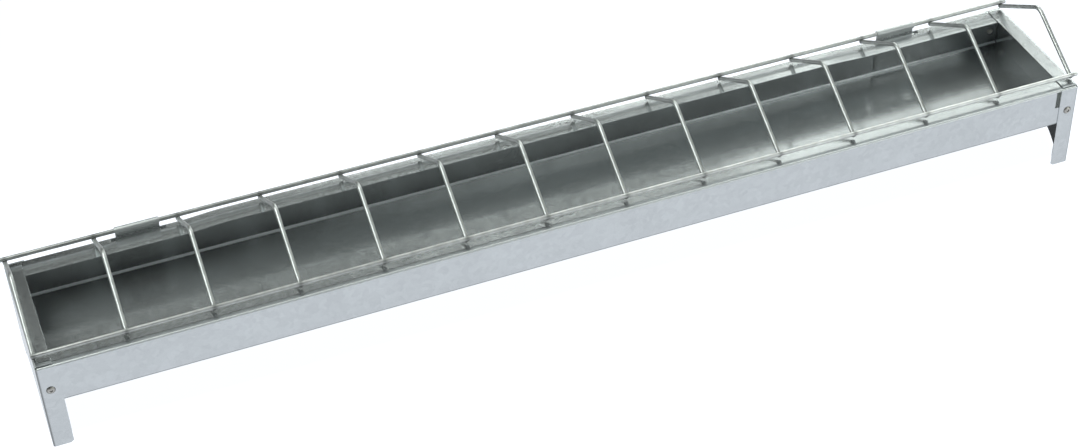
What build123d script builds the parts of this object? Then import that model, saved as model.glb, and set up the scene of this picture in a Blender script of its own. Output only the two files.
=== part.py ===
from build123d import *
import os
from math import asin, cos, hypot, sin

# Feed trough of folded galvanised sheet with a hinged grid of welded wire.
# Millimetres. X runs along the trough, +Y is the hinge side, and Z = 0 is the floor under the feet.

# Channel
length = 1000.0  # over the outer faces of the end plates
width = 144.0  # over the outer faces of the channel's two walls
rim_height = 90.0  # top of the turned-in flanges above the floor
channel_depth = 41.0  # underside of the channel to the top of its flanges
flange_width = 21.0  # wall's outer face to the free edge of its flange
sheet = 0.8  # channel and end plates
bend_radius = 1.0  # inside radius of every folded edge
floor_end_gap = 0.1  # floor's end to the end plate, where the floor runs on past the walls

# End plates, which carry the channel and make the legs
leg_strip_width = 18.0  # plate's outer face to the free edge of a folded leg strip
flap_width = 15.0  # plate's outer face to the free edge of the top flap
flap_seam = 0.4  # gap between the channel's flange and the flap over it
flap_relief = 1.2  # cut-back of the flap from each leg strip's bend
foot_width = 20.0  # each foot, across the trough
foot_corner = 2.0  # rounded lower corner of a leg strip
arch_rise = 26.0  # crown of the arch between the feet

# Blind rivets through leg strip and wall
rivet_drop = 25.0  # rivet axis below the rim
rivet_shank = 4.0
rivet_head = 8.0
rivet_head_height = 1.6
rivet_tail = 6.2
rivet_tail_height = 1.5
rivet_bore = 2.4
rivet_fit = 0.05  # radial clearance in the holes

# Wire grid
wire_count = 14
rail_diameter = 4.0
cross_diameter = 4.0
weld_sink = 0.4  # depth to which a cross wire is welded into a rail
end_wire_inset = 1.8  # axis of an end cross wire in from the end plate's outer face
end_bay_extra = 2.9  # bay at each end of the grid, beyond the pitch of the other bays
rail_overhang = 5.5  # rail's end past the axis of the end cross wire
front_rail_inset = 10.1  # front rail's axis in from the front wall's outer face
front_rail_rise = 7.1  # front rail's axis above the rim, with the end wires' tips just clear of the flaps
ridge_offset = 5.0  # ridge towards the hinge side of the trough's middle
ridge_rise = 43.0  # corner of the bent cross wire above the rim, before rounding
ridge_radius = 12.0  # bend of the cross wire at the ridge
wire_tip = 1.5  # cross wire past its weld under each rail

# Hinge straps, rolled round the rear rail
strap_inset = 120.0  # strap's middle in from the end plate's outer face
strap_width = 40.0
strap_sheet = 1.0
hinge_rise = 8.0  # hinge axis above the rim
hinge_fit = 0.08  # radial clearance of the rail in the roll
roll_slit = 0.5  # gap between the roll's free end and the strap's neck
neck_radius = 1.2  # reverse bend where the neck runs into the roll
strap_floor_gap = 6.0  # strap's lower end above the inside of the channel's floor
slot_end_clearance = 5.0  # slot in the flange past each side of the strap
slot_front_clearance = 2.5  # slot in the flange ahead of the strap's face

# Places that follow from the sizes above
half_length = length / 2
half_width = width / 2
outer_bend = bend_radius + sheet
channel_half_length = half_length - sheet - bend_radius
channel_floor = rim_height - channel_depth + sheet
flap_top = rim_height + flap_seam + sheet
rivet_x = half_length - leg_strip_width / 2
rivet_z = rim_height - rivet_drop
end_wire_x = half_length - end_wire_inset
wire_pitch = 2 * (end_wire_x - end_bay_extra) / (wire_count - 1)
inner_wire_x = end_wire_x - end_bay_extra - wire_pitch
strap_x = half_length - strap_inset
hinge_y = half_width - sheet - strap_sheet / 2
hinge_z = rim_height + hinge_rise
front_rail_y = front_rail_inset - half_width
front_rail_z = rim_height + front_rail_rise
weld_distance = (rail_diameter + cross_diameter) / 2 - weld_sink
below = (Align.CENTER, Align.CENTER, Align.MAX)


def rivet_holes():
    """Cylinders across the trough at the four rivet places."""
    hole = Rot(90, 0, 0) * Cylinder(rivet_shank / 2 + rivet_fit, 2 * width)
    return [Pos(side * rivet_x, 0, rivet_z) * hole for side in (-1, 1)]


def make_channel():
    """C-shaped folded channel: floor, two walls and two turned-in flanges, slotted for the hinge straps."""
    outside = RectangleRounded(width, channel_depth, outer_bend)
    inside = RectangleRounded(width - 2 * sheet, channel_depth - 2 * sheet, bend_radius)
    mouth = Pos(0, channel_depth / 2) * Rectangle(width - 2 * flange_width, 2 * outer_bend)
    section = Pos(0, rim_height - channel_depth / 2) * (outside - inside - mouth)
    channel = extrude(Plane.YZ * section, amount=channel_half_length, both=True)
    floor_length = 2 * (half_length - sheet - floor_end_gap)
    channel += Pos(0, 0, channel_floor) * Box(floor_length, width - 4 * outer_bend, sheet, align=below)
    slot_rear = hinge_y + strap_sheet / 2
    slot_length = strap_width + 2 * slot_end_clearance
    slot_width = strap_sheet + slot_front_clearance
    slot = Box(slot_length, slot_width, outer_bend, align=(Align.CENTER, Align.MAX, Align.MAX))
    slots = [Pos(side * strap_x, slot_rear, rim_height) * slot for side in (-1, 1)]
    return channel - slots - rivet_holes()


def make_right_end_plate():
    """End plate: arched web, a leg strip folded round each wall and a flap folded in over the flanges."""
    outside = RectangleRounded(2 * leg_strip_width, width + 2 * sheet, outer_bend)
    inside = RectangleRounded(2 * leg_strip_width - 2 * sheet, width, bend_radius)
    outer_half = Pos(leg_strip_width / 2, 0) * Rectangle(leg_strip_width, 2 * width)
    wrap = Pos(half_length - leg_strip_width, 0) * ((outside - inside) & outer_half)
    plate = extrude(wrap, amount=rim_height)

    toes = plate.edges().filter_by(Axis.Y).group_by(Axis.X)[0].group_by(Axis.Z)[0]
    plate = fillet(toes, foot_corner)

    foot_inner = half_width + sheet - foot_width
    crown = ThreePointArc((-foot_inner, 0), (0, arch_rise), (foot_inner, 0))
    arch = make_face([crown, Line(crown @ 1, crown @ 0)])
    plate -= Pos(half_length, 0, 0) * extrude(Plane.YZ * arch, amount=outer_bend, both=True)

    flap_outside = RectangleRounded(2 * flap_width, 2 * flap_width, outer_bend)
    flap_inside = RectangleRounded(2 * flap_width - 2 * sheet, 2 * flap_width - 2 * sheet, bend_radius)
    quarter = Pos(flap_width / 2, flap_width / 2) * Rectangle(flap_width, flap_width)
    fold = Pos(half_length - flap_width, flap_top - flap_width) * ((flap_outside - flap_inside) & quarter)
    flap = extrude(Plane.XZ * fold, amount=half_width - bend_radius - flap_relief, both=True)
    return plate + flap - rivet_holes()


def make_rivet():
    """Blind rivet along Z, its head's seat at Z = 0: domed head, shank, upset tail and mandrel's bore."""
    grip = 2 * sheet
    dome_radius = ((rivet_head / 2) ** 2 + rivet_head_height**2) / (2 * rivet_head_height)
    dome = Pos(0, 0, rivet_head_height - dome_radius) * Sphere(dome_radius)
    head = split(dome, Plane.XY, keep=Keep.TOP)
    shank = Cylinder(rivet_shank / 2, grip, align=below)
    tail = Pos(0, 0, -grip) * Cone(rivet_shank / 2, rivet_tail / 2, rivet_tail_height, align=below)
    bore = Pos(0, 0, rivet_head_height) * Cylinder(rivet_bore / 2, rivet_head_height + grip, align=below)
    return head + shank + tail - bore


def make_rivets():
    """One rivet at each leg strip, head outwards."""
    rivet = make_rivet()
    seat = half_width + sheet
    rivets = []
    for end in (-1, 1):
        for side in (-1, 1):
            rivets.append(Pos(end * rivet_x, side * seat, rivet_z) * Rot(-90 * side, 0, 0) * rivet)
    return Compound(children=rivets)


def make_right_strap():
    """Hinge strap: flat tail against the rear wall, a neck through the slot and a roll round the rail."""
    bore = rail_diameter / 2 + hinge_fit
    roll = Circle(bore + strap_sheet)
    tail_length = hinge_z - channel_floor - strap_floor_gap
    tail = Rectangle(strap_sheet, tail_length, align=(Align.CENTER, Align.MAX))
    neck = roll + tail
    front_corners = neck.vertices().filter_by(lambda v: abs(v.Y) < bore + strap_sheet and v.X < 0)
    neck = fillet(front_corners, neck_radius)
    slit = Rectangle(roll_slit, 2 * (bore + strap_sheet), align=(Align.MIN, Align.MAX))
    profile = neck - Circle(bore) - Pos(strap_sheet / 2, 0) * slit
    strap = extrude(Plane.YZ * Pos(hinge_y, hinge_z) * profile, amount=strap_width / 2, both=True)
    return Pos(strap_x, 0, 0) * strap


def make_rail(y, z):
    """Straight rail of the grid along X."""
    return Pos(0, y, z) * Rot(0, 90, 0) * Cylinder(rail_diameter / 2, 2 * (end_wire_x + rail_overhang))


def wire_end(ridge_y, ridge_z, rail_y, rail_z):
    """End of a cross wire that runs from the ridge corner down under a rail and past it by the tip."""
    across = rail_y - ridge_y
    down = rail_z - ridge_z
    reach = hypot(across, down)
    turn = asin(weld_distance / reach) * (1 if across < 0 else -1)
    run = (reach**2 - weld_distance**2) ** 0.5 + wire_tip
    along_y = (across * cos(turn) - down * sin(turn)) / reach
    along_z = (across * sin(turn) + down * cos(turn)) / reach
    return (0, ridge_y + along_y * run, ridge_z + along_z * run)


def make_cross_wire(rails):
    """Cross wire at X = 0: one rod bent at the ridge, notched where it is welded up against the rails."""
    ridge = (0, ridge_offset, rim_height + ridge_rise)
    rear_end = wire_end(*ridge[1:], hinge_y, hinge_z)
    front_end = wire_end(*ridge[1:], front_rail_y, front_rail_z)
    path = FilletPolyline(rear_end, ridge, front_end, radius=ridge_radius)
    rod = sweep(Plane(origin=path @ 0, z_dir=path % 0) * Circle(cross_diameter / 2), path=path)
    return rod - rails


rear_rail = make_rail(hinge_y, hinge_z)
front_rail = make_rail(front_rail_y, front_rail_z)
right_end_plate = make_right_end_plate()
right_hinge_strap = make_right_strap()

parts = {
    "trough_channel": make_channel(),
    "right_end_plate": right_end_plate,
    "left_end_plate": mirror(right_end_plate, Plane.YZ),
    "end_plate_rivets": make_rivets(),
    "right_hinge_strap": right_hinge_strap,
    "left_hinge_strap": mirror(right_hinge_strap, Plane.YZ),
    "rear_rail": rear_rail,
    "front_rail": front_rail,
}
cross_wire = make_cross_wire([rear_rail, front_rail])
inner_places = [number * wire_pitch - inner_wire_x for number in range(wire_count - 2)]
for number, place in enumerate([-end_wire_x, *inner_places, end_wire_x], 1):
    parts[f"cross_wire_{number:02d}"] = Pos(place, 0, 0) * cross_wire

os.makedirs("parts", exist_ok=True)
for name, part in parts.items():
    export_step(part, f"parts/{name}.step")
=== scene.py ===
import bmesh
import bpy
import numpy as np
from mathutils import Matrix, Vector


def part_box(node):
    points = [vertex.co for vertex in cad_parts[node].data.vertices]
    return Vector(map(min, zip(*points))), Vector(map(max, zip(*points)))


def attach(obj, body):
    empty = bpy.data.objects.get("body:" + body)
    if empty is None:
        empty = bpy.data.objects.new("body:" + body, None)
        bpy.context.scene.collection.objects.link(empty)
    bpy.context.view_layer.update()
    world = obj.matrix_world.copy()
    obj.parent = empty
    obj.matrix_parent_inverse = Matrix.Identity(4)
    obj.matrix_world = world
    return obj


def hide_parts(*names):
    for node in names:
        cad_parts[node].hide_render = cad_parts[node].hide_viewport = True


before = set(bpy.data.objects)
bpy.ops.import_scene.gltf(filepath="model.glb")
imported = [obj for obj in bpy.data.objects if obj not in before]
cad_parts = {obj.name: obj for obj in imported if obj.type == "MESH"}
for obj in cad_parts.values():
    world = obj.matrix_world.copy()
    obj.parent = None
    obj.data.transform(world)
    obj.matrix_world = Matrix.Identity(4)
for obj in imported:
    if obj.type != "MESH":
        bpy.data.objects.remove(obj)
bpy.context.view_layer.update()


# Trough channel
# One long strip of galvanised steel, folded four times to a C: floor, two walls and two turned-in flanges.
# The rear flange is slotted along its root, where the two hinge straps come up through it.
channel_low, channel_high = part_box("trough_channel")
strap_low, strap_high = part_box("right_hinge_strap")
rim = channel_high.z
wall_y = channel_high.y
middle_height = (channel_low.z + rim) / 2
sheet = 0.0008
outer_bend = 0.0018
rear_bend = 0.001  # at the rear rim
floor_bend = 0.003
flange_width = 0.021
tongue_length = 0.0009  # the floor runs on this far past the walls
tongue_half = 0.0684  # and is this wide there, from the middle
wall_end_x = channel_high.x - tongue_length
strap_x = (strap_low.x + strap_high.x) / 2
slot_past_strap = 0.005
slot_half_length = (strap_high.x - strap_low.x) / 2 + slot_past_strap
slot_width = 0.0035
slot_front_y = wall_y - sheet - slot_width
slot_corner = 0.0018  # the slot is this much wider beside the strap
floor_sag = 0.0006
floor_wave = 0.00015
wave_rate = 23  # radians per metre
wave_drift = 1.5  # radians
drift_rate = 9  # radians per metre
floor_wear = 0.08
flange_curvature = 1.6  # per metre
wall_bow = 0.0014
wall_bow_slant = 0.0012  # per metre, so that the bow is deeper towards the left
flange_lift = 0.0008
bow_half_length = 0.345
bow_fade = 0.045
notch_x = 0.4775  # start of the small cut at the right end of the front wall
notch_depth = 0.021
notch_into_bend = 0.0001  # inwards from the wall's face
rear_rim_painted_shade = -0.3  # painted shade and painted highlight of the four folds, from -1, dark, to 1, bright
front_rim_painted_shade = 0
rear_floor_painted_highlight = 0.7
front_floor_painted_shade = -1
channel_columns = 221
flange_rows = 6
same_place = 1e-6  # points closer than this are one
zinc_tone = (0.6, 0.624, 0.634)
zinc_dullness = 0.15


def folded_path(corners, radii, bend_steps, longest_step):
    """Straight runs between corners, each inner corner cut back by radius * tan(half its turn) and
    replaced by an arc of that radius. Returns the points and how far each lies inside a bend, 0 to 1."""
    corners = np.asarray(corners, float)
    radii = np.broadcast_to(radii, len(corners) - 2)
    points = [corners[:1]]
    bends = [np.zeros(1)]
    for number in range(1, len(corners)):
        into = corners[number] - corners[number - 1]
        into = into / np.linalg.norm(into)
        stop = corners[number]
        if number < len(corners) - 1:
            out = corners[number + 1] - corners[number]
            out = out / np.linalg.norm(out)
            turn = np.arctan2(into[0] * out[1] - into[1] * out[0], into @ out)
            radius = radii[number - 1]
            stop = stop - into * radius * np.tan(abs(turn) / 2)
        run = stop - points[-1][-1]
        steps = max(2, int(np.ceil(np.linalg.norm(run) / longest_step)))
        points.append(points[-1][-1] + np.linspace(0, 1, steps + 1)[1:, None] * run)
        bends.append(np.zeros(steps))
        if number < len(corners) - 1:
            side = np.sign(turn) * np.array([-into[1], into[0]])
            angle = np.linspace(0, abs(turn), bend_steps + 1)[1:, None]
            points.append(stop + radius * (side * (1 - np.cos(angle)) + into * np.sin(angle)))
            bends.append(np.sin(np.pi * angle[:, 0] / abs(turn)))
    return np.concatenate(points), np.concatenate(bends)


def carried(profile, stations):
    """Grid of points: a profile in Y and Z, carried along X to each station."""
    points = np.empty((len(profile), len(stations), 3))
    points[..., 0] = stations
    points[..., 1:] = profile[:, None]
    return points


def grid_faces(rows, columns, flip=False):
    """Quads of a grid of rows x columns points, numbered row by row. They face along rows x columns."""
    index = np.arange(rows * columns).reshape(rows, columns)
    quads = np.stack([index[:-1, :-1], index[1:, :-1], index[1:, 1:], index[:-1, 1:]], -1)
    return quads[..., ::-1] if flip else quads


def mesh_piece(name, points, faces, **attributes):
    """Mesh object from an array of points and one of quads, with unused points left out and doubles merged.
    Attributes hold one value for each point."""
    used, renumbered = np.unique(faces, return_inverse=True)
    mesh = bpy.data.meshes.new(name)
    mesh.from_pydata(points[used], [], renumbered.reshape(-1, faces.shape[-1]))
    for key, values in attributes.items():
        layer = mesh.attributes.new(key, "FLOAT", "POINT")
        layer.data.foreach_set("value", values[used].astype(np.float32))
    shape = bmesh.new()
    shape.from_mesh(mesh)
    bmesh.ops.remove_doubles(shape, verts=shape.verts, dist=same_place)
    shape.to_mesh(mesh)
    shape.free()
    mesh.shade_smooth()
    mesh.set_sharp_from_angle(angle=np.radians(40))
    piece = bpy.data.objects.new(name, mesh)
    bpy.context.scene.collection.objects.link(piece)
    return piece


def give_thickness(piece, thickness, offset):
    """Sheet metal from a surface. Offset -1 keeps the surface as its outer face, 0 as its middle.
    The cut edges are broken by a bevel of an eighth of the sheet."""
    solid = piece.modifiers.new("thickness", "SOLIDIFY")
    solid.thickness = thickness
    solid.offset = offset
    solid.use_even_offset = True
    broken = piece.modifiers.new("cut_edges", "BEVEL")
    broken.width = thickness / 8
    broken.segments = 1
    broken.limit_method = "ANGLE"
    broken.angle_limit = np.radians(60)
    flat = piece.modifiers.new("flat_faces", "WEIGHTED_NORMAL")
    flat.weight = 100


def connect(tree, socket, value):
    """Input of a shader node, linked to the output of another or set to a value."""
    if isinstance(value, bpy.types.NodeSocket):
        tree.links.new(value, socket)
    else:
        socket.default_value = value


def add_node(tree, kind, settings=(), **inputs):
    """Shader node with its settings made and its named inputs filled."""
    node = tree.nodes.new("ShaderNode" + kind)
    for key, value in dict(settings).items():
        setattr(node, key, value)
    for key, value in inputs.items():
        connect(tree, node.inputs[key], value)
    return node


def worked_out(tree, kind, operation, *values):
    """Result of a Math or VectorMath node, with its inputs filled in order."""
    node = add_node(tree, kind, {"operation": operation})
    for socket, value in zip(node.inputs, values):
        connect(tree, socket, value)
    return node.outputs[0]


def spread(tree, value, low, high, first=0, last=1):
    """Value held between first and last, and spread evenly from low to high."""
    limits = {"From Min": first, "From Max": last, "To Min": low, "To Max": high}
    return add_node(tree, "MapRange", Value=value, **limits).outputs[0]


def zinc_sheet(name, tone, dullness):
    """Hot-dip zinc: crystals a few millimetres wide, cells of a Voronoi pattern bent by noise, each with
    its own shade and tilt. Finer grains and faint rolling streaks along X vary the gloss. The attribute
    bend dulls a fold, and fold_shade paints shade on a fold below 0 and a highlight above 0."""
    wander_reach = (0.006, 0.006, 0.006)
    crystal_tilt = (0.008, 0.008, 0.008)
    crystal_middle = (0.5, 0.5, 0.5)
    streak_dulling = 0.04
    fold_dulling = 0.35
    material = bpy.data.materials.new(name)
    material.use_nodes = True
    tree = material.node_tree
    shader = tree.nodes["Principled BSDF"]
    place = add_node(tree, "TexCoord").outputs["Object"]
    wander = add_node(tree, "TexNoise", Vector=place, Scale=140, Detail=2).outputs["Color"]
    bent = worked_out(tree, "VectorMath", "MULTIPLY_ADD", wander, wander_reach, place)
    crystals = add_node(tree, "TexVoronoi", Vector=bent, Scale=190).outputs["Color"]
    crystal_shade = add_node(tree, "SeparateColor", Color=crystals).outputs["Red"]
    grains = add_node(tree, "TexVoronoi", Vector=bent, Scale=1100).outputs["Color"]
    grain_shade = add_node(tree, "SeparateColor", Color=grains).outputs["Green"]
    stretched = add_node(tree, "Mapping", Vector=place, Scale=(6, 420, 420)).outputs[0]
    streaks = add_node(tree, "TexNoise", Vector=stretched, Scale=1, Detail=4).outputs["Fac"]
    clouds = add_node(tree, "TexNoise", Vector=place, Scale=22, Detail=5).outputs["Fac"]
    bend = add_node(tree, "Attribute", {"attribute_name": "bend"}).outputs["Fac"]
    fold_shade = add_node(tree, "Attribute", {"attribute_name": "fold_shade"}).outputs["Fac"]

    mottle = spread(tree, crystal_shade, low=0.965, high=1.03)
    tint = spread(tree, clouds, low=0.97, high=1.03, first=0.3, last=0.7)
    # painted shade below 0 and painted highlight above 0, read from the folds' attribute
    fold = spread(tree, fold_shade, low=0.42, high=1.58, first=-1)
    clouded = worked_out(tree, "Math", "MULTIPLY", mottle, tint)
    strength = worked_out(tree, "Math", "MULTIPLY", clouded, fold)
    colour = add_node(tree, "VectorMath", {"operation": "SCALE"}, Vector=tone, Scale=strength)
    tree.links.new(colour.outputs[0], shader.inputs["Base Color"])

    gloss = spread(tree, grain_shade, low=dullness - 0.03, high=dullness + 0.05)
    streaked = worked_out(tree, "Math", "MULTIPLY_ADD", streaks, streak_dulling, gloss)
    worn = worked_out(tree, "Math", "MULTIPLY_ADD", bend, fold_dulling, streaked)
    tree.links.new(worn, shader.inputs["Roughness"])

    lean = worked_out(tree, "VectorMath", "SUBTRACT", crystals, crystal_middle)
    normal = add_node(tree, "NewGeometry").outputs["Normal"]
    tilted = worked_out(tree, "VectorMath", "MULTIPLY_ADD", lean, crystal_tilt, normal)
    tree.links.new(worked_out(tree, "VectorMath", "NORMALIZE", tilted), shader.inputs["Normal"])
    shader.inputs["Metallic"].default_value = 0.91
    return material


# The section runs from the front flange's free edge round to the rear one's, with a row at the slot's edge.
section, section_bend = folded_path(
    [(flange_width - wall_y, rim), (-wall_y, rim), (-wall_y, channel_low.z), (wall_y, channel_low.z),
     (wall_y, rim), (slot_front_y, rim)],
    (outer_bend, floor_bend, floor_bend, rear_bend), bend_steps=6, longest_step=0.004)
flange_rest = np.linspace(slot_front_y - slot_corner, wall_y - flange_width, flange_rows)
section = np.concatenate([section, np.stack([flange_rest, np.full(flange_rows, rim)], 1)])
section_bend = np.concatenate([section_bend, np.zeros(flange_rows)])
upper = section[:, 1] > middle_height
at_rear = section[:, 0] > 0
# Painted shade and painted highlight along the folds: each fold's depth times the value for its place.
section_painted_shade = section_bend * np.select(
    [upper & at_rear, upper, at_rear], [rear_rim_painted_shade, front_rim_painted_shade, rear_floor_painted_highlight], front_floor_painted_shade)
on_floor = abs(section[:, 1] - channel_low.z) < same_place
on_flange = abs(section[:, 1] - rim) < same_place
section_bend[on_floor] = floor_wear

# It is carried along X. Across, the floor sags as a parabola and each flange rises as one. Along, the sag
# has a slow wave. Between the straps the rear wall bows out and its flange lifts, both more with height.
slot_ends = [end * strap_x + side * slot_half_length for end in (-1, 1) for side in (-1, 1)]
strap_sides = [-strap_high.x, -strap_low.x, strap_low.x, strap_high.x]
stations = np.union1d(np.linspace(-wall_end_x, wall_end_x, channel_columns),
                      [channel_low.x, *slot_ends, *strap_sides, notch_x, channel_high.x])
points = carried(section, stations)
sag = floor_sag + floor_wave * np.sin(wave_rate * stations + wave_drift * np.sin(drift_rate * stations))
points[on_floor, :, 2] -= sag * (1 - (section[on_floor, 0] / wall_y) ** 2)[:, None]
crown_reach = flange_width / 2 - outer_bend
across_flange = wall_y - flange_width / 2 - abs(section[on_flange, 0])
points[on_flange, :, 2] += flange_curvature / 2 * (crown_reach**2 - across_flange[:, None] ** 2)
behind = (section[:, 0] > wall_y - flange_width - same_place) & ~on_floor
up_wall = np.clip((section[:, 1] - channel_low.z) / (rim - channel_low.z), 0, 1) * behind
in_bow = np.clip((bow_half_length - abs(stations)) / bow_fade, 0, 1)
in_bow = in_bow**2 * (3 - 2 * in_bow)
points[..., 1] += up_wall[:, None] * (wall_bow - wall_bow_slant * stations) * in_bow
points[..., 2] += up_wall[:, None] * flange_lift * in_bow

# Quads whose middles lie in a slot, in the small cut or beside the floor's tongues are left out.
middle_x, middle_y, middle_z = np.moveaxis((points[:-1, :-1] + points[1:, 1:]) / 2, -1, 0)
from_strap = abs(abs(middle_x) - strap_x)
slot_edge = slot_front_y - slot_corner * (from_strap > strap_high.x - strap_x)
in_slot = (from_strap < slot_half_length) & (middle_z > rim - outer_bend)
in_slot &= (middle_y > slot_edge) & (middle_y < wall_y - sheet)
in_notch = (middle_x > notch_x) & (middle_y < notch_into_bend - wall_y) & (middle_z > rim - notch_depth)
on_tongue = (abs(middle_y) <= tongue_half) & (middle_z <= middle_height)
beside_tongue = (abs(middle_x) > wall_end_x) & ~on_tongue
faces = grid_faces(*points.shape[:2])[~(in_slot | in_notch | beside_tongue)]
channel = mesh_piece("folded_channel", points.reshape(-1, 3), faces,
                     bend=np.repeat(section_bend, len(stations)),
                     fold_shade=np.repeat(section_painted_shade, len(stations)))
give_thickness(channel, sheet, -1)
zinc = zinc_sheet("zinc_sheet", zinc_tone, zinc_dullness)
channel.data.materials.append(zinc)
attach(channel, "base")
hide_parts("trough_channel")


# End plates
# Each end is a plate of the same sheet: a web with an arch between its feet, a leg strip folded back along
# each wall, and a flap folded in over the ends of the flanges.
plate_low, plate_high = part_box("right_end_plate")
leg_strip_width = plate_high.x - plate_low.x
flap_width = 0.015
flap_relief = 0.0022
flap_half = wall_y - flap_relief
# painted shade along the flap's fold
flap_fold_shade = -0.6
foot_width = 0.020
toe_radius = 0.002
leg_bend = 0.002
arch_rise = 0.026
body_rows = 31
web_columns = 61


def lower_edge(y, from_strip_edge):
    """Height of the plate's lower edge: an arch through the feet's inner corners, and a rounded toe."""
    reach = plate_high.y - foot_width
    radius = (reach**2 + arch_rise**2) / (2 * arch_rise)
    arch = np.sqrt(np.maximum(radius**2 - np.minimum(abs(y), reach) ** 2, 0)) + arch_rise - radius
    toe = toe_radius - np.sqrt(toe_radius**2 - np.maximum(toe_radius - from_strip_edge, 0) ** 2)
    return np.where(abs(y) < reach, arch, 0) + toe


def plate_patch(path, from_strip_edge, top):
    """Rows of a plate along a path in X and Y: in equal steps from its lower edge up to the top's bend,
    and on along the top curve, whose points give run-in and height."""
    low = lower_edge(path[:, 1], from_strip_edge)
    share = np.linspace(0, 1, body_rows)[:, None]
    rows = np.empty((body_rows + len(top), len(path), 3))
    rows[..., :2] = path
    rows[:body_rows, :, 2] = low + share * (plate_high.z - outer_bend - low)
    rows[body_rows:, :, 0] -= top[:, :1]
    rows[body_rows:, :, 2] = top[:, 1:]
    return rows


def end_plate(name, node, side):
    """A web with its flap, and two corners with their leg strips: three patches merged along their seams."""
    corner, corner_bend = folded_path(
        [(plate_low.x, -plate_high.y), (plate_high.x, -plate_high.y), (plate_high.x, -flap_half)],
        leg_bend, bend_steps=6, longest_step=0.003)
    along_corner = np.cumsum(np.linalg.norm(np.diff(corner, axis=0, prepend=corner[:1]), axis=1))
    web = np.stack([np.full(web_columns, plate_high.x), np.linspace(-flap_half, flap_half, web_columns)], 1)
    fold, fold_bend = folded_path(
        [(0, plate_high.z - 2 * outer_bend), (0, plate_high.z), (flap_width, plate_high.z)],
        outer_bend, bend_steps=6, longest_step=0.002)
    fold_start = int(np.argmax(fold_bend > 0))
    patches = [plate_patch(corner, along_corner, np.array([(0, rim)])),
               plate_patch(web, leg_strip_width, fold[fold_start:])]
    patches.append(patches[0][:, ::-1] * (1, -1, 1))
    web_bend = np.concatenate([np.zeros(body_rows), fold_bend[fold_start:]])
    corner_rows = len(patches[0])
    bends = [np.tile(corner_bend, corner_rows), np.repeat(web_bend, web_columns),
             np.tile(corner_bend[::-1], corner_rows)]
    # Painted shade along the folds: full at the leg corners, and a share of it at the flap's fold.
    painted_shades = [-bends[0], flap_fold_shade * bends[1], -bends[2]]
    faces = []
    first = 0
    for patch in patches:
        faces.append(grid_faces(*patch.shape[:2], flip=side > 0).reshape(-1, 4) + first)
        first += patch.shape[0] * patch.shape[1]
    points = np.concatenate([patch.reshape(-1, 3) for patch in patches]) * (side, 1, 1)
    plate = mesh_piece(name, points, np.concatenate(faces),
                       bend=np.concatenate(bends), fold_shade=np.concatenate(painted_shades))
    give_thickness(plate, sheet, -1)
    plate.data.materials.append(zinc)
    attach(plate, "base")
    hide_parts(node)


end_plate("arched_end_left", "left_end_plate", -1)
end_plate("arched_end_right", "right_end_plate", 1)


# Rivets
# One blind rivet of bare alloy through each leg strip and wall: a domed head with the broken mandrel down
# its bore, and inside the wall the tail that the mandrel spread.
rivet_low, rivet_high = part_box("end_plate_rivets")
rivet_head = (rivet_high.z - rivet_low.z) / 2
rivet_z = (rivet_high.z + rivet_low.z) / 2
rivet_x = rivet_high.x - rivet_head
rivet_seat = plate_high.y
rivet_sides = 32
rivet_tone = (0.5, 0.485, 0.455)
painted_shade_start = 0.0026  # painted shade round the head's rim and in the gap round the mandrel
painted_shade_fade = 0.0012
mandrel_gap = 0.0011
mandrel_gap_half = 0.0002
rivet_profile = np.array([
    (0, 0.95), (0.80, 0.98), (1.02, 0.86), (1.12, 0.70), (1.22, 1.30), (1.45, 1.50), (2.1, 1.36), (2.8, 1.02),
    (3.4, 0.56), (3.85, 0.20), (4.0, 0.10), (4.0, 0.0), (2.0, 0.0), (2.0, -1.6), (3.0, -1.6), (3.1, -1.9),
    (2.7, -2.7), (2.0, -3.1), (0, -3.1)]) / 1000


def turned(profile, sides):
    """Surface of revolution about Y: radius and height of the profile, turned in equal steps and closed."""
    angle = np.linspace(0, 2 * np.pi, sides + 1)
    radius = profile[:, :1]
    height = np.repeat(profile[:, 1:], sides + 1, 1)
    points = np.stack([radius * np.cos(angle), height, radius * np.sin(angle)], -1)
    return points.reshape(-1, 3), grid_faces(len(profile), sides + 1, flip=True).reshape(-1, 4)


def plain_metal(name, tone, roughness, grain):
    """Bare or plated metal: broad noise in its shade, fine noise in its gloss, and a shallow bump of the
    fine grain. The attribute stain, 0 to 1, darkens it: painted shade by a rivet's head and
    in its mandrel's gap, and at a weld burnt zinc together with painted shade of the joint."""
    material = bpy.data.materials.new(name)
    material.use_nodes = True
    tree = material.node_tree
    shader = tree.nodes["Principled BSDF"]
    place = add_node(tree, "TexCoord").outputs["Object"]
    fine = add_node(tree, "TexNoise", Vector=place, Scale=grain, Detail=4).outputs["Fac"]
    broad = add_node(tree, "TexNoise", Vector=place, Scale=grain / 12, Detail=3).outputs["Fac"]
    stain = add_node(tree, "Attribute", {"attribute_name": "stain"}).outputs["Fac"]
    shade = spread(tree, broad, low=0.82, high=1.1, first=0.3, last=0.7)
    # darkening from the attribute: painted shade, and burnt zinc at welds
    undarkened = spread(tree, stain, low=1.0, high=0.3)
    strength = worked_out(tree, "Math", "MULTIPLY", shade, undarkened)
    colour = add_node(tree, "VectorMath", {"operation": "SCALE"}, Vector=tone, Scale=strength)
    tree.links.new(colour.outputs[0], shader.inputs["Base Color"])
    gloss = spread(tree, fine, low=roughness - 0.1, high=roughness + 0.1)
    tree.links.new(gloss, shader.inputs["Roughness"])
    bump = add_node(tree, "Bump", Height=fine, Distance=0.00003, Strength=0.5)
    tree.links.new(bump.outputs["Normal"], shader.inputs["Normal"])
    shader.inputs["Metallic"].default_value = 0.9
    return material


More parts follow.
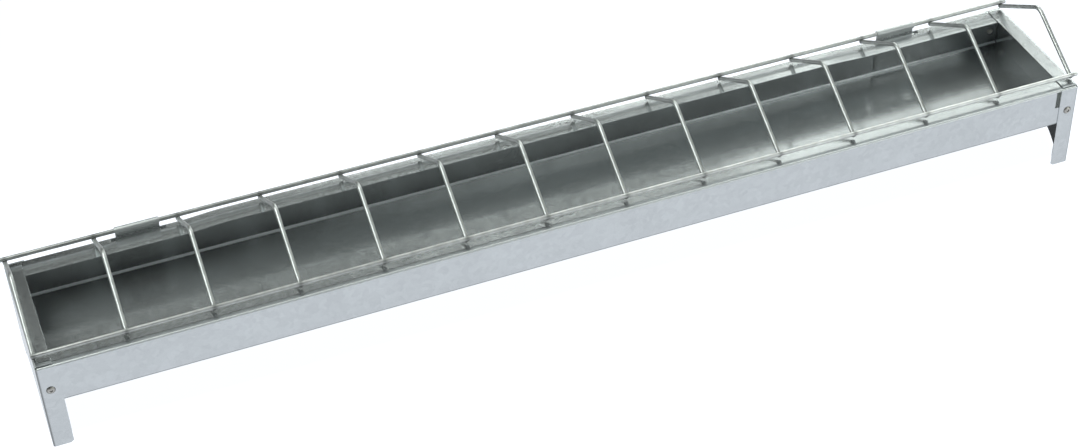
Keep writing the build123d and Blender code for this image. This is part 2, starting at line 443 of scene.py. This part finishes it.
rivet_points, rivet_faces = turned(rivet_profile, rivet_sides)
placed_points = []
for end in (-1, 1):
    for side in (-1, 1):
        seat = (end * rivet_x, side * rivet_seat, rivet_z)
        placed_points.append(rivet_points * (side, side, 1) + seat)
rivet_count = len(placed_points)
placed_faces = [rivet_faces + number * len(rivet_points) for number in range(rivet_count)]
from_axis = np.hypot(rivet_points[:, 0], rivet_points[:, 2])
# Painted shade round the head's rim and in the gap round the mandrel.
rivet_painted_shade = np.clip((from_axis - painted_shade_start) / painted_shade_fade, 0, 1)
rivet_painted_shade += abs(from_axis - mandrel_gap) < mandrel_gap_half
rivets = mesh_piece("blind_rivets", np.concatenate(placed_points), np.concatenate(placed_faces),
                    stain=np.tile(rivet_painted_shade, rivet_count))
rivets.data.materials.append(plain_metal("rivet_alloy", rivet_tone, roughness=0.42, grain=2400))
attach(rivets, "base")
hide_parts("end_plate_rivets")


# Hinge straps
# A strip of galvanised steel lies flat inside the rear wall, comes up through the slot and is rolled round
# the rear rail, over the front and the top, until its free end meets its own neck.
rail_low, rail_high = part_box("rear_rail")
rail_radius = (rail_high.z - rail_low.z) / 2
hinge_y = (rail_high.y + rail_low.y) / 2
hinge_z = (rail_high.z + rail_low.z) / 2
strap_sheet = 0.001
roll_radius = strap_high.z - hinge_z - strap_sheet / 2
neck_radius = 0.0017
roll_end = np.radians(-67 - 360)
roll_wear = 0.7
wear_fade = 0.004
tail_rows = 13
neck_rows = 6
roll_rows = 36
strap_columns = 17
strap_tone = (0.52, 0.54, 0.545)
strap_dullness = 0.17


def strap_path():
    """Middle line of the strap in Y and Z: straight up, an arc forwards that touches the roll from outside,
    then round the roll to its free end."""
    neck_drop = np.sqrt((roll_radius + neck_radius) ** 2 - neck_radius**2)
    meet = np.arctan2(-neck_drop, -neck_radius)
    tail = np.linspace(strap_low.z - hinge_z, -neck_drop, tail_rows)
    neck = np.linspace(0, np.pi + meet, neck_rows + 1)[1:]
    roll = np.linspace(meet, roll_end, roll_rows + 1)[1:]
    y = np.concatenate([np.zeros(tail_rows), neck_radius * (np.cos(neck) - 1), roll_radius * np.cos(roll)])
    z = np.concatenate([tail, -neck_drop + neck_radius * np.sin(neck), roll_radius * np.sin(roll)])
    return np.stack([y, z], 1) + (hinge_y, hinge_z)


strap_metal = zinc_sheet("strap_zinc", strap_tone, strap_dullness)
path = strap_path()
worn = roll_wear * np.clip((path[:, 1] - rim) / wear_fade, 0, 1)
for name, node, side in (
        ("rolled_strap_left", "left_hinge_strap", -1),
        ("rolled_strap_right", "right_hinge_strap", 1)):
    points = carried(path, np.linspace(strap_low.x, strap_high.x, strap_columns) * side)
    faces = grid_faces(*points.shape[:2], flip=side > 0).reshape(-1, 4)
    strap = mesh_piece(name, points.reshape(-1, 3), faces, bend=np.repeat(worn, strap_columns))
    give_thickness(strap, strap_sheet, 0)
    strap.data.materials.append(strap_metal)
    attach(strap, "base")
    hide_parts(node)


# Rails
# Two straight lengths of zinc plated wire. The rear one is the hinge pin of the grid. The front one lies on
# the cross wires' front ends, over the front flange, and its zinc is painted lighter: painted light for the
# brighter reflections it catches.
rail_columns = 253
wire_columns = 25
end_chamfer = 0.0004
front_left_cut = 0.003
# darkening about each weld: burnt zinc, and painted shade of the joint
rail_stain = 0.7
rail_stain_reach = 0.0026
weld_reach = 0.003
weld_steps = np.linspace(-weld_reach, weld_reach, 7)
rail_tone = (0.51, 0.525, 0.52)
# painted light: a lighter copy of the rail's zinc for the front rail, for the brighter reflections it catches
painted_light_rail_tone = (0.64, 0.655, 0.65)
rail_metal = plain_metal("rail_zinc", rail_tone, roughness=0.36, grain=1500)
painted_light_rail_metal = plain_metal("rail_zinc_painted_lighter", painted_light_rail_tone, roughness=0.36, grain=1500)
wire_names = sorted(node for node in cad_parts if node.startswith("cross_wire"))
wire_boxes = [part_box(node) for node in wire_names]
wire_places = np.array([(low.x + high.x) / 2 for low, high in wire_boxes])


def drawn_wire(path, radius, across, swell=None):
    """Round wire: a circle carried along a path. Its sides lie along across and tangent x across, its ends
    are cut square with a small chamfer, and swell, if given, adds to the radius by step and angle."""
    tangent = np.gradient(path, axis=0)
    tangent /= np.linalg.norm(tangent, axis=1)[:, None]
    level = across - (tangent @ across)[:, None] * tangent
    level /= np.linalg.norm(level, axis=1)[:, None]
    upright = np.cross(tangent, level)
    angle = np.linspace(0, 2 * np.pi, wire_columns)
    reach = np.full((len(path), wire_columns), radius)
    if swell is not None:
        reach += swell(angle)
    around = np.cos(angle)[:, None] * level[:, None] + np.sin(angle)[:, None] * upright[:, None]
    rings = path[:, None] + reach[..., None] * around
    caps = []
    for end, inward in ((0, tangent[0]), (-1, -tangent[-1])):
        flat = path[end] + (radius - end_chamfer) * around[end]
        caps.append((np.repeat(path[end][None], wire_columns, 0), flat))
        rings[end] += inward * end_chamfer
    rings = np.concatenate([[caps[0][0], caps[0][1]], rings, [caps[1][1], caps[1][0]]])
    return rings.reshape(-1, 3), grid_faces(len(rings), wire_columns, flip=True).reshape(-1, 4)


def by_ring(values):
    """Values by step of a path, for every point of the wire drawn along it, its two end caps included."""
    return np.repeat(np.concatenate([values[:1], values[:1], values, values[-1:], values[-1:]]), wire_columns)


def rail(name, node, metal, left_cut=0):
    """Straight wire along X through the middle of its node's box, its left end cut back. A bell curve about
    each weld darkens it: burnt zinc, and painted shade of the joint."""
    low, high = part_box(node)
    x = np.union1d(np.linspace(low.x, high.x, rail_columns), wire_places[:, None] + weld_steps)
    x = np.union1d(x[x > low.x + left_cut], low.x + left_cut)
    path = np.stack([x, np.full(len(x), (low.y + high.y) / 2), np.full(len(x), (low.z + high.z) / 2)], 1)
    points, faces = drawn_wire(path, rail_radius, np.array([0, 1.0, 0]))
    from_weld = abs(x[:, None] - wire_places).min(1)
    stain = rail_stain * np.exp(-((from_weld / rail_stain_reach) ** 2))
    piece = mesh_piece(name, points, faces, stain=by_ring(stain))
    piece.data.materials.append(metal)
    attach(piece, "grid")
    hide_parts(node)


rail("hinge_rail", "rear_rail", rail_metal)
rail("rest_rail", "front_rail", painted_light_rail_metal, front_left_cut)


# Cross wires
# Fourteen rods of zinc plated wire, each bent once to a rounded ridge and resistance welded under both
# rails, where the metal is squeezed out to a small collar.
front_low, front_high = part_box("front_rail")
front_y = (front_low.y + front_high.y) / 2
front_z = (front_low.z + front_high.z) / 2
ridge_offset = 0.005
ridge_rise = 0.043
ridge = np.array([ridge_offset, rim + ridge_rise])
ridge_radius = 0.012
weld_distance = 0.0036
wire_tip = 0.0015
collar_height = 0.0005
collar_reach = 0.0013
collar_angle = np.radians(50)
collar_spread = np.radians(28)
wire_stain_reach = 0.003
wire_tone = (0.42, 0.435, 0.43)
wire_metal = plain_metal("wire_zinc", wire_tone, roughness=0.4, grain=1500)


def under_rail(rail_at, side):
    """Weld and end of a straight leg from the ridge's corner. The line to the rail's axis is turned by
    arcsin(weld distance / its length), so that the leg passes under the rail at that distance."""
    span = rail_at - ridge
    reach = np.linalg.norm(span)
    lean = side * np.arcsin(weld_distance / reach)
    turned_span = np.array([np.cos(lean) * span[0] - np.sin(lean) * span[1],
                            np.sin(lean) * span[0] + np.cos(lean) * span[1]]) / reach
    run = np.sqrt(reach**2 - weld_distance**2)
    return ridge + turned_span * run, ridge + turned_span * (run + wire_tip)


rear_weld, rear_end = under_rail(np.array([hinge_y, hinge_z]), -1)
front_weld, front_end = under_rail(np.array([front_y, front_z]), 1)
wire_path, _ = folded_path([rear_end, ridge, front_end], ridge_radius, bend_steps=16, longest_step=0.0008)
to_rear = np.linalg.norm(wire_path - rear_weld, axis=1)
to_front = np.linalg.norm(wire_path - front_weld, axis=1)


def weld_collar(angle):
    """Metal squeezed out beside each weld: a bell curve about the collar's angle, either side of straight up,
    times one along the wire about the weld."""
    near = np.exp(-((to_rear / collar_reach) ** 2)) + np.exp(-((to_front / collar_reach) ** 2))
    from_above = abs((angle + np.pi / 2) % (2 * np.pi) - np.pi)
    beside = np.exp(-(((from_above - collar_angle) / collar_spread) ** 2))
    return collar_height * near[:, None] * beside


# darkening about each weld: burnt zinc, and painted shade of the joint
weld_stain = np.exp(-((np.minimum(to_rear, to_front) / wire_stain_reach) ** 2))
for name, x in zip(wire_names, wire_places):
    path = np.stack([np.full(len(wire_path), x), wire_path[:, 0], wire_path[:, 1]], 1)
    points, faces = drawn_wire(path, rail_radius, np.array([1.0, 0, 0]), weld_collar)
    piece = mesh_piece(name.replace("cross_wire", "ridge_wire"), points, faces, stain=by_ring(weld_stain))
    piece.data.materials.append(wire_metal)
    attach(piece, "grid")
    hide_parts(name)


# Stage
# A white sweep that the camera sees, and light tables at the same level that only the metal sees, bright
# round the trough and dim under it and far behind it. Soft panels stand round it, and the camera stands
# where the photograph was taken.
sweep_half = 6.0
sweep_shade = 0.25
sweep_glow = 1.02
trough_end = 0.5
trough_front = -0.06
trough_rear = 0.08
near_rear = 0.5


def level_card(name, low_x, high_x, low_y, high_y, shade, glow):
    """Flat card on the floor between two corners, of a matt shade that gives off light of its own."""
    corners = np.array([(low_x, low_y, 0), (high_x, low_y, 0), (high_x, high_y, 0), (low_x, high_y, 0)])
    card = mesh_piece(name, corners, np.array([[0, 1, 2, 3]]))
    paint = bpy.data.materials.new(name)
    paint.use_nodes = True
    shader = paint.node_tree.nodes["Principled BSDF"]
    shader.inputs["Base Color"].default_value = (shade, shade, shade, 1)
    shader.inputs["Roughness"].default_value = 0.9
    shader.inputs["Emission Color"].default_value = (0.96, 1.0, 1.06, 1)
    shader.inputs["Emission Strength"].default_value = glow
    card.data.materials.append(paint)
    return card


sweep = level_card("sweep", -sweep_half, sweep_half, -sweep_half, sweep_half, sweep_shade, sweep_glow)
sweep.visible_diffuse = False
sweep.visible_glossy = False
sweep.visible_shadow = False
for name, low_x, high_x, low_y, high_y, glow in (
        ("front_table", -sweep_half, sweep_half, -sweep_half, trough_front, 0.88),
        ("under_table", -trough_end, trough_end, trough_front, trough_rear, 0.05),
        ("near_table", -trough_end, trough_end, trough_rear, near_rear, 0.8),
        ("far_table", -sweep_half, sweep_half, near_rear, sweep_half, 0.1),
        ("left_table", -sweep_half, -trough_end, trough_front, near_rear, 0.85),
        ("right_table", trough_end, sweep_half, trough_front, near_rear, 0.5)):
    table = level_card(name, low_x, high_x, low_y, high_y, shade=0.0, glow=glow)
    table.visible_camera = False

# The world is white to the camera, as the sweep is, and all but dark to the metal.
scene = bpy.context.scene
scene.view_settings.view_transform = "Standard"
world = bpy.data.worlds.new("studio")
scene.world = world
world.use_nodes = True
tree = world.node_tree
dim = tree.nodes["Background"]
dim.inputs["Color"].default_value = (0.92, 1.0, 1.0, 1)
dim.inputs["Strength"].default_value = 0.01
pale = add_node(tree, "Background", Color=(1.0, 1.0, 1.0, 1), Strength=sweep_glow)
seen = add_node(tree, "LightPath").outputs["Is Camera Ray"]
backdrop = add_node(tree, "MixShader", Fac=seen)
tree.links.new(dim.outputs[0], backdrop.inputs[1])
tree.links.new(pale.outputs[0], backdrop.inputs[2])
tree.links.new(backdrop.outputs[0], tree.nodes["World Output"].inputs["Surface"])

panel_distance = 3.0
panel_tone = (0.95, 1.0, 0.96)
panel_aim = np.array([0, 0, 0.09])


def soft_panel(name, bearing, height, wide, high, radiance):
    """Rectangular soft light that faces the trough, as bright as a white card of that radiance. Its bearing
    from +Y towards +X, its height above the level and the two angles that it covers are in degrees."""
    bearing, height, wide, high = np.radians([bearing, height, wide, high])
    away = np.array([np.sin(bearing) * np.cos(height), np.cos(bearing) * np.cos(height), np.sin(height)])
    side = np.array([-np.cos(bearing), np.sin(bearing), 0])
    light = bpy.data.lights.new(name, "AREA")
    light.shape = "RECTANGLE"
    light.size = 2 * panel_distance * np.tan(wide / 2)
    light.size_y = 2 * panel_distance * np.tan(high / 2)
    light.energy = radiance * np.pi * light.size * light.size_y
    light.color = panel_tone
    panel = bpy.data.objects.new(name, light)
    placed = np.eye(4)
    placed[:3] = np.stack([side, np.cross(away, side), away, panel_aim + panel_distance * away], 1)
    panel.matrix_world = Matrix(placed.tolist())
    panel.visible_camera = False
    scene.collection.objects.link(panel)


for name, bearing, height, wide, high, radiance in (
        ("left_high_panel", -78, 58, 44, 24, 9.0),
        ("left_low_panel", -78, 28, 60, 34, 0.8),
        ("right_panel", 105, 42, 50, 30, 1.0),
        ("far_right_panel", 65, 45, 30, 22, 1.4),
        ("far_right_low_panel", 65, 22, 30, 24, 1.6),
        ("front_panel", 145, 50, 30, 20, 0.55),
        ("front_low_panel", 140, 13, 40, 16, 3.6),
        ("front_left_low_panel", 180, 13, 40, 16, 0.3),
        ("top_panel", 0, 90, 44, 44, 0.4),
        ("back_low_panel", 35, 19, 30, 14, 6.2),
        ("back_high_panel", 5, 54, 30, 16, 1.0),
        ("back_right_high_panel", 35, 54, 30, 16, 1.9),
        ("back_strip_left", 2, 34, 12, 4, 1.0),
        ("back_strip_near", 12, 34, 8, 4, 1.85),
        ("back_strip_low", 20, 29, 8, 6, 5.3),
        ("back_strip_right", 29, 34, 10, 4, 1.1),
        ("back_strip_far", 42, 38, 16, 12, 1.2),
        ("upper_strip_left", 2, 43, 12, 6, 0.1),
        ("upper_strip_right", 29, 43, 10, 6, 0.47)):
    soft_panel(name, bearing, height, wide, high, radiance)

# The camera was fitted to the photograph: its place, its turns in degrees, and its focal length in pixels.
eye = np.array([-0.53781, -1.42495, 1.30504])
yaw, pitch, roll = np.radians([19.840, 39.950, 2.151])
focal_pixels = 2127.54
photo_width = 1080
film_width = 36
forward = np.array([np.sin(yaw) * np.cos(pitch), np.cos(yaw) * np.cos(pitch), -np.sin(pitch)])
level = np.array([np.cos(yaw), -np.sin(yaw), 0])
below = np.cross(forward, level)
image_right = level * np.cos(roll) + below * np.sin(roll)
image_down = below * np.cos(roll) - level * np.sin(roll)
photo_lens = bpy.data.cameras.new("photo_lens")
photo_lens.sensor_width = film_width
photo_lens.lens = film_width * focal_pixels / photo_width
photo_camera = bpy.data.objects.new("photo_camera", photo_lens)
placed = np.eye(4)
placed[:3] = np.stack([image_right, -image_down, -forward, eye], 1)
photo_camera.matrix_world = Matrix(placed.tolist())
scene.collection.objects.link(photo_camera)
scene.camera = photo_camera
